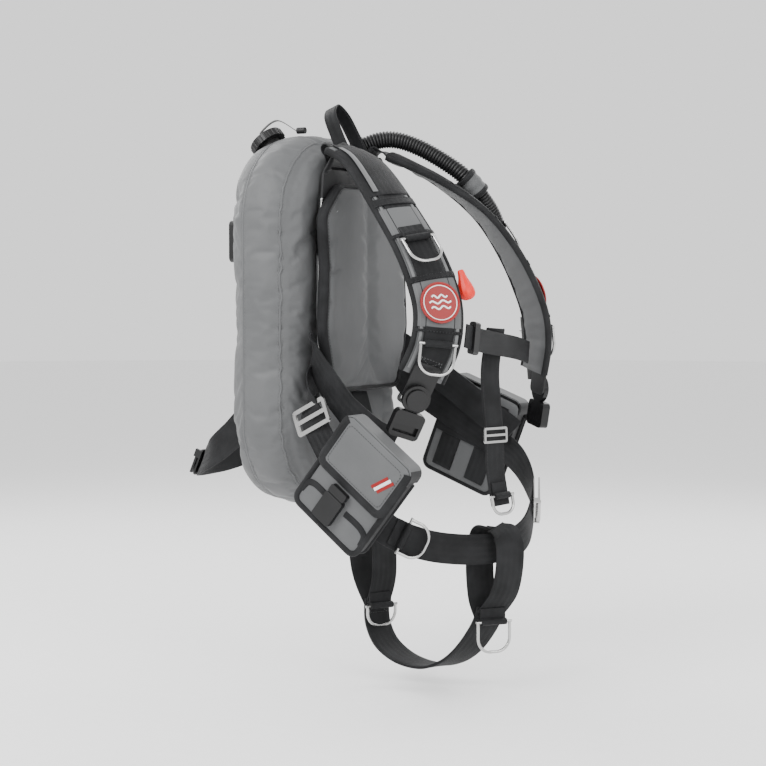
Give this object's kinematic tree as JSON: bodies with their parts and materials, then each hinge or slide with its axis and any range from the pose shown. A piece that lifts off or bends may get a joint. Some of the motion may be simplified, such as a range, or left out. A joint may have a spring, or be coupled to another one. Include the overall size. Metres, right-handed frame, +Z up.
{
  "type": "buoyancy compensator vest",
  "caption": "Diver's buoyancy vest: steel backplate, inflated grey air cell behind it, padded shoulder harness with steel rings, hip pockets, waist belt, crotch strap and inflator hose.",
  "frame": {"origin": "midway between the two cylinder bolt holes, on the backplate's rear face", "axes": "+Z up along the wearer's spine, +Y backwards towards the cylinder, +X to the wearer's left"},
  "size_m": [0.472, 0.6464, 0.9541],
  "materials": {
    "cell_nylon": "grey coated nylon, fine weave",
    "bladder_film": "welded polyurethane film",
    "pad_nylon": "grey packcloth over foam",
    "webbing": "black nylon webbing",
    "steel": "stainless, satin",
    "black_plastic": "moulded acetal",
    "hose_rubber": "corrugated rubber",
    "red_rubber": "red moulded rubber",
    "badge_vinyl": "red moulded badge",
    "cord": "thin braided cord"
  },
  "bodies": {
    "harness": {"air_cell_cover": "cell_nylon", "back_pad": "pad_nylon", "backplate": "steel", "belt_buckle_frame": "steel", "cam_buckle_base": "black_plastic", "carry_handle": "webbing", "centre_slider": "steel", "centre_strap": "webbing", "chest_strap": "webbing", "corrugated_hose": "hose_rubber", "crotch_strap": "webbing", "dump_pull_cord": "cord", "dump_valve_body": "black_plastic", "hose_elbow": "black_plastic", "hose_sleeve": "pad_nylon", "inflator_body": "black_plastic", "inlet_nipple": "steel", "inner_bladder": "bladder_film", "ladder_buckles": "steel", "left_pocket_pouch": "pad_nylon", "left_shoulder_pad": "pad_nylon", "left_shoulder_webbing": "webbing", "left_swivel_plate": "black_plastic", "lower_cylinder_band": "webbing", "mouthpiece": "black_plastic", "pad_screws": "steel", "pocket_clips": "black_plastic", "right_pocket_pouch": "pad_nylon", "right_shoulder_pad": "pad_nylon", "right_shoulder_webbing": "webbing", "right_swivel_plate": "black_plastic", "ring_keepers": "webbing", "shoulder_badges": "badge_vinyl", "side_straps": "webbing", "upper_band_grip": "black_plastic", "upper_cylinder_band": "webbing", "waist_belt": "webbing"},
    "right_upper_ring": {"right_upper_ring": "steel"},
    "right_lower_ring": {"right_lower_ring": "steel"},
    "right_buckle_housing": {"right_buckle_housing": "black_plastic"},
    "right_pocket_flap": {"right_pocket_flap": "pad_nylon"},
    "right_pocket_buckle": {"right_pocket_buckle": "black_plastic"},
    "left_upper_ring": {"left_upper_ring": "steel"},
    "left_lower_ring": {"left_lower_ring": "steel"},
    "left_buckle_housing": {"left_buckle_housing": "black_plastic"},
    "left_pocket_flap": {"left_pocket_flap": "pad_nylon"},
    "left_pocket_buckle": {"left_pocket_buckle": "black_plastic"},
    "waist_ring": {"waist_ring": "steel"},
    "centre_ring": {"centre_ring": "steel"},
    "crotch_rear_ring": {"crotch_rear_ring": "steel"},
    "crotch_front_ring": {"crotch_front_ring": "steel"},
    "belt_buckle_flap": {"belt_buckle_flap": "steel"},
    "cam_buckle_lever": {"cam_buckle_lever": "black_plastic"},
    "chest_slider": {"chest_slider": "black_plastic"},
    "inflate_button": {"inflate_button": "black_plastic"},
    "deflate_button": {"deflate_button": "black_plastic"},
    "dump_toggle": {"dump_toggle": "black_plastic"},
    "dump_valve_stem": {"dump_valve_stem": "black_plastic"},
    "pull_knob": {"pull_knob": "red_rubber"}
  },
  "joints": [
    {"name": "right_upper_ring_swing", "type": "hinge", "parent": "harness", "child": "right_upper_ring", "pos_m": [-0.14439, -0.19732, 0.04982], "axis": [-0.8639, 0.4803, -0.1519], "range_deg": [0, 110]},
    {"name": "right_lower_ring_swing", "type": "hinge", "parent": "harness", "child": "right_lower_ring", "pos_m": [-0.16657, -0.24697, -0.11873], "axis": [-0.7329, 0.6735, 0.0967], "range_deg": [0, 110]},
    {"name": "right_buckle_swivel", "type": "hinge", "parent": "harness", "child": "right_buckle_housing", "pos_m": [-0.16604, -0.2046, -0.20336], "axis": [-0.6586, -0.6889, -0.3027], "range_deg": [-12, 12]},
    {"name": "right_pocket_flap_lift", "type": "hinge", "parent": "harness", "child": "right_pocket_flap", "pos_m": [-0.1965, -0.18071, -0.27219], "axis": [0, 0.7848, 0.6198], "range_deg": [0, 65]},
    {"name": "right_pocket_buckle_release", "type": "slide", "parent": "harness", "child": "right_pocket_buckle", "axis": [0, 0.6198, -0.7848], "range_m": [0, 0.03]},
    {"name": "left_upper_ring_swing", "type": "hinge", "parent": "harness", "child": "left_upper_ring", "pos_m": [0.15179, -0.2005, 0.07387], "axis": [-0.7668, -0.5809, 0.273], "range_deg": [0, 110]},
    {"name": "left_lower_ring_swing", "type": "hinge", "parent": "harness", "child": "left_lower_ring", "pos_m": [0.16976, -0.27308, -0.0987], "axis": [-0.5845, -0.8102, 0.0432], "range_deg": [0, 110]},
    {"name": "left_buckle_swivel", "type": "hinge", "parent": "harness", "child": "left_buckle_housing", "pos_m": [0.16969, -0.25863, -0.20409], "axis": [0.8114, -0.581, -0.0644], "range_deg": [-12, 12]},
    {"name": "left_pocket_flap_lift", "type": "hinge", "parent": "harness", "child": "left_pocket_flap", "pos_m": [0.1835, -0.15703, -0.20667], "axis": [0, -0.9326, -0.361], "range_deg": [0, 90]},
    {"name": "left_pocket_buckle_release", "type": "slide", "parent": "harness", "child": "left_pocket_buckle", "axis": [0, 0.361, -0.9326], "range_m": [0, 0.03]},
    {"name": "waist_ring_swing", "type": "hinge", "parent": "harness", "child": "waist_ring", "pos_m": [-0.14201, -0.17234, -0.428], "axis": [-0.3105, 0.3246, -0.8934], "range_deg": [0, 100]},
    {"name": "centre_ring_swing", "type": "hinge", "parent": "harness", "child": "centre_ring", "pos_m": [-0.0046, -0.27887, -0.37034], "axis": [-0.9047, 0.4198, -0.0724], "range_deg": [0, 80]},
    {"name": "crotch_rear_ring_swing", "type": "hinge", "parent": "harness", "child": "crotch_rear_ring", "pos_m": [-0.005, -0.051, -0.572], "axis": [-0.9023, 0.4311, 0], "range_deg": [0, 90]},
    {"name": "crotch_front_ring_swing", "type": "hinge", "parent": "harness", "child": "crotch_front_ring", "pos_m": [-0.007, -0.266, -0.58], "axis": [-0.7828, 0.6222, 0], "range_deg": [0, 100]},
    {"name": "belt_buckle_flap_hinge", "type": "hinge", "parent": "harness", "child": "belt_buckle_flap", "pos_m": [0.09927, -0.29561, -0.40543], "axis": [0.6273, 0.3136, -0.7128], "range_deg": [0, 120]},
    {"name": "cam_buckle_lever_hinge", "type": "hinge", "parent": "harness", "child": "cam_buckle_lever", "pos_m": [0, 0.3168, -0.32635], "axis": [1, 0, 0], "range_deg": [0, 105]},
    {"name": "chest_slider_slide", "type": "slide", "parent": "harness", "child": "chest_slider", "axis": [0.9831, -0.0527, -0.1755], "range_m": [-0.012, 0.012]},
    {"name": "inflate_button_press", "type": "slide", "parent": "harness", "child": "inflate_button", "axis": [-0.8105, 0.5803, -0.0796], "range_m": [0, 0.0035], "stiffness_N_per_m": 1200, "springref_m": -0.002},
    {"name": "deflate_button_press", "type": "slide", "parent": "harness", "child": "deflate_button", "axis": [-0.8105, 0.5803, -0.0796], "range_m": [0, 0.0035], "stiffness_N_per_m": 1200, "springref_m": -0.002},
    {"name": "dump_toggle_pull", "type": "slide", "parent": "harness", "child": "dump_toggle", "axis": [0, -1, 0], "range_m": [0, 0.012], "stiffness_N_per_m": 400, "springref_m": -0.002},
    {"name": "dump_valve_lift", "type": "slide", "parent": "harness", "child": "dump_valve_stem", "axis": [0, 0.65, 0.76], "range_m": [0, 0.005], "stiffness_N_per_m": 400, "springref_m": -0.002},
    {"name": "pull_knob_pull", "type": "slide", "parent": "harness", "child": "pull_knob", "axis": [0.0201, -0.3011, -0.9534], "range_m": [0, 0.02], "stiffness_N_per_m": 300, "springref_m": -0.002}
  ],
  "couplings": [
    {"joint": "dump_valve_lift", "follows": "dump_toggle_pull", "ratio": 0.4}
  ]
}
